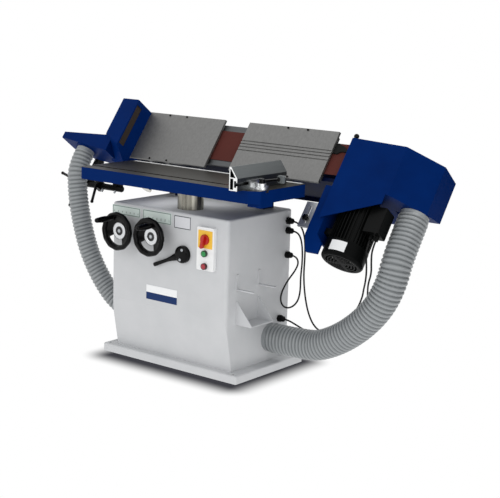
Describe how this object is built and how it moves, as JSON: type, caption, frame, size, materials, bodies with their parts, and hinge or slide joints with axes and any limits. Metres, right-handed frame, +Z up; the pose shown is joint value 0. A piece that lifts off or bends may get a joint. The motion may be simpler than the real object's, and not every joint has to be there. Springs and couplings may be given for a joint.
{
  "type": "edge sander",
  "caption": "Floor-standing edge sander: an abrasive belt on upright drums in a tilting unit behind a rise-and-fall table with a mitre fence, on a cabinet with suction hoses",
  "frame": {"origin": "on the floor under the middle of the base", "axes": "+X along the belt towards the motor, +Y to the back, +Z up"},
  "size_m": [2.1113, 0.8878, 1.1921],
  "materials": {
    "grey_paint": "semi-gloss",
    "dark_paint": "semi-gloss",
    "black_paint": "satin",
    "blue_paint": "semi-gloss",
    "cast_iron": "ground",
    "cover_steel": "ground",
    "bright_steel": "polished",
    "aluminium": "satin",
    "zinc_sheet": "zinc plated",
    "abrasive": "coated abrasive",
    "black_plastic": "matte",
    "black_lever": "satin",
    "hose_grey": "ribbed",
    "cable_black": "matte",
    "white_plastic": "gloss",
    "plate_pale": "printed blank",
    "yellow_plastic": "gloss",
    "red_plastic": "gloss",
    "green_plastic": "gloss"
  },
  "bodies": {
    "stand": {"base_frame": "grey_paint", "cabinet_shell": "grey_paint", "rear_door": "grey_paint", "side_rack": "grey_paint", "front_plates": "plate_pale", "switch_box": "white_plastic", "isolator_plate": "yellow_plastic", "cable_glands": "black_plastic", "hose_inlets": "zinc_sheet", "dust_manifold": "zinc_sheet", "dust_outlet": "zinc_sheet", "column_sleeve": "bright_steel", "shaft_bushes": "bright_steel", "trunnion_shoes": "dark_paint", "hose_right": "hose_grey", "hose_left": "hose_grey", "cable_1": "cable_black", "cable_2": "cable_black", "cable_3": "cable_black"},
    "table": {"table_top": "cast_iron", "table_column": "bright_steel", "table_edge_strip": "aluminium"},
    "mitre_slide_bar": {"mitre_bar": "bright_steel"},
    "mitre_gauge": {"mitre_head": "aluminium", "mitre_fence": "aluminium"},
    "mitre_lever": {"mitre_clamp_lever": "black_plastic"},
    "lift_wheel": {"lift_handwheel": "black_plastic", "lift_shaft": "bright_steel"},
    "lift_grip": {"lift_crank": "black_plastic"},
    "tilt_wheel": {"tilt_handwheel": "black_plastic", "tilt_shaft": "bright_steel"},
    "tilt_grip": {"tilt_crank": "black_plastic"},
    "lock": {"lock_lever": "black_lever"},
    "isolator": {"isolator_knob": "red_plastic"},
    "start": {"start_button": "green_plastic"},
    "stop": {"stop_button": "red_plastic"},
    "tilt_unit": {"tilt_frame": "dark_paint", "platen": "cover_steel", "left_cover_plate": "cover_steel", "right_cover_plate": "cover_steel", "cover_screws": "bright_steel", "sanding_belt": "abrasive", "right_hood": "blue_paint", "left_hood": "blue_paint", "motor_plate": "blue_paint", "motor_body": "black_paint", "motor_fan_cover": "black_paint", "terminal_box": "black_paint", "slide_bracket": "aluminium", "tilt_quadrants": "cast_iron", "rear_guard": "dark_paint", "end_rail": "black_paint", "rail_clamps": "black_paint"},
    "drive": {"drive_drum": "aluminium", "motor_shaft": "bright_steel"},
    "idler_slide": {"tension_slide": "bright_steel"},
    "idler": {"idler_drum": "aluminium"},
    "bracket_clamp": {"bracket_knob": "black_plastic"},
    "front_lever": {"front_clamp_lever": "black_plastic"},
    "end_lever": {"end_clamp_lever": "black_plastic"}
  },
  "joints": [
    {"name": "table_lift", "type": "slide", "parent": "stand", "child": "table", "axis": [0, 0, 1], "range_m": [-0.035, 0.06]},
    {"name": "mitre_travel", "type": "slide", "parent": "table", "child": "mitre_slide_bar", "axis": [1, 0, 0], "range_m": [-0.86, 0.004]},
    {"name": "mitre_angle", "type": "hinge", "parent": "mitre_slide_bar", "child": "mitre_gauge", "pos_m": [0.53, -0.268, 0.9], "axis": [0, 0, 1], "range_deg": [-45, 45]},
    {"name": "mitre_clamp", "type": "hinge", "parent": "mitre_gauge", "child": "mitre_lever", "pos_m": [0.53, -0.268, 0.936], "axis": [0, 0, 1], "range_deg": [-60, 15]},
    {"name": "lift_wheel_turn", "type": "hinge", "parent": "stand", "child": "lift_wheel", "pos_m": [-0.055, -0.333, 0.62], "axis": [0, 1, 0], "range_deg": [-166, 98]},
    {"name": "lift_grip_spin", "type": "hinge", "parent": "lift_wheel", "child": "lift_grip", "pos_m": [-0.02402, -0.39, 0.67827], "axis": [0, 1, 0], "continuous": true},
    {"name": "tilt_wheel_turn", "type": "hinge", "parent": "stand", "child": "tilt_wheel", "pos_m": [-0.253, -0.333, 0.62], "axis": [0, 1, 0], "range_deg": [-172, 732]},
    {"name": "tilt_grip_spin", "type": "hinge", "parent": "tilt_wheel", "child": "tilt_grip", "pos_m": [-0.28089, -0.39, 0.67982], "axis": [0, 1, 0], "continuous": true},
    {"name": "lock_turn", "type": "hinge", "parent": "stand", "child": "lock", "pos_m": [0.097, -0.275, 0.553], "axis": [0, 1, 0], "range_deg": [-30, 20]},
    {"name": "isolator_turn", "type": "hinge", "parent": "stand", "child": "isolator", "pos_m": [0.237, -0.3, 0.643], "axis": [0, 1, 0], "range_deg": [0, 90]},
    {"name": "start_press", "type": "slide", "parent": "stand", "child": "start", "axis": [0, 1, 0], "range_m": [0, 0.004], "stiffness_N_per_m": 400},
    {"name": "stop_press", "type": "slide", "parent": "stand", "child": "stop", "axis": [0, 1, 0], "range_m": [0, 0.004], "stiffness_N_per_m": 400},
    {"name": "tilt", "type": "hinge", "parent": "stand", "child": "tilt_unit", "pos_m": [0, 0.03, 0.9], "axis": [1, 0, 0], "range_deg": [-8.5, 36.5], "deforming": ["hose_right", "hose_left", "cable_1", "cable_3"]},
    {"name": "drive_spin", "type": "hinge", "parent": "tilt_unit", "child": "drive", "pos_m": [0.81, 0.21569, 0.9492], "axis": [0, 0.5948, 0.8039], "continuous": true},
    {"name": "belt_tension", "type": "slide", "parent": "tilt_unit", "child": "idler_slide", "axis": [1, 0, 0], "range_m": [0, 0.015]},
    {"name": "idler_spin", "type": "hinge", "parent": "idler_slide", "child": "idler", "pos_m": [-0.44, 0.21569, 0.9492], "axis": [0, 0.5948, 0.8039], "continuous": true},
    {"name": "bracket_knob_turn", "type": "hinge", "parent": "tilt_unit", "child": "bracket_clamp", "pos_m": [0.609, -0.0622, 0.7754], "axis": [0, 0.8039, -0.5948], "range_deg": [-180, 180]},
    {"name": "front_lever_turn", "type": "hinge", "parent": "tilt_unit", "child": "front_lever", "pos_m": [-0.748, 0.03073, 0.7564], "axis": [0, 0.8039, -0.5948], "range_deg": [-60, 3]},
    {"name": "end_lever_turn", "type": "hinge", "parent": "tilt_unit", "child": "end_lever", "pos_m": [-0.909, 0.03073, 0.7564], "axis": [0, 0.8039, -0.5948], "range_deg": [-12, 40]}
  ],
  "couplings": [
    {"joint": "lift_wheel_turn", "follows": "table_lift", "rad_per_m": -47.619},
    {"joint": "tilt_wheel_turn", "follows": "tilt", "ratio": 20},
    {"joint": "idler_spin", "follows": "drive_spin", "ratio": 1}
  ]
}
